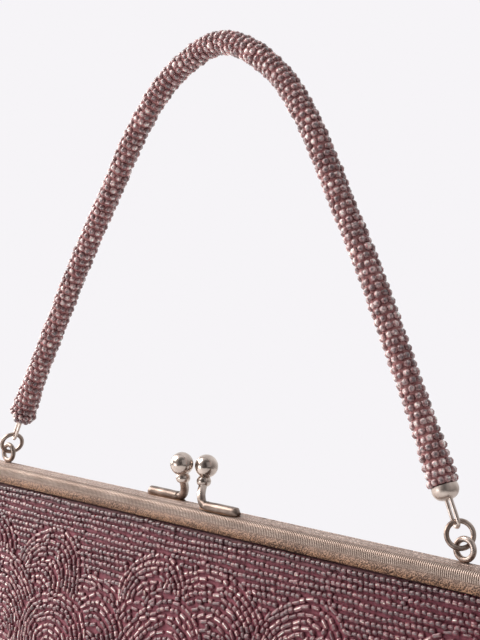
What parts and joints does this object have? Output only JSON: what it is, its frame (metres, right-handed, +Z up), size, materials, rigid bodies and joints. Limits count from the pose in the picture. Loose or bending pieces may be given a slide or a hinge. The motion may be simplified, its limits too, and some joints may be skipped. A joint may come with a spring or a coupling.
{
  "type": "beaded evening bag",
  "caption": "Small framed evening bag covered in beads, with a kiss clasp and a bead rope handle on jump rings, shown hanging.",
  "frame": {"origin": "the point under the top of the handle where the bag hangs", "axes": "+X along the frame to the right, -Y towards the front, +Z up"},
  "size_m": [0.24, 0.031, 0.3044],
  "materials": {
    "frame_metal": "engraved nickel silver with warm tarnish",
    "polished_metal": "polished nickel silver, softly tarnished",
    "handle_beads": "smoky amethyst glass seed beads on a rope",
    "pouch_beads": "wine cloth closely sewn with amethyst glass seed beads"
  },
  "bodies": {
    "root": {"frame_front": "frame_metal", "frame_back": "frame_metal", "hinge_pin_left": "polished_metal", "hinge_pin_right": "polished_metal", "jump_ring_left": "polished_metal", "jump_ring_right": "polished_metal", "handle_cap_left": "polished_metal", "handle_cap_right": "polished_metal", "handle": "handle_beads", "pouch": "pouch_beads"}
  },
  "joints": []
}
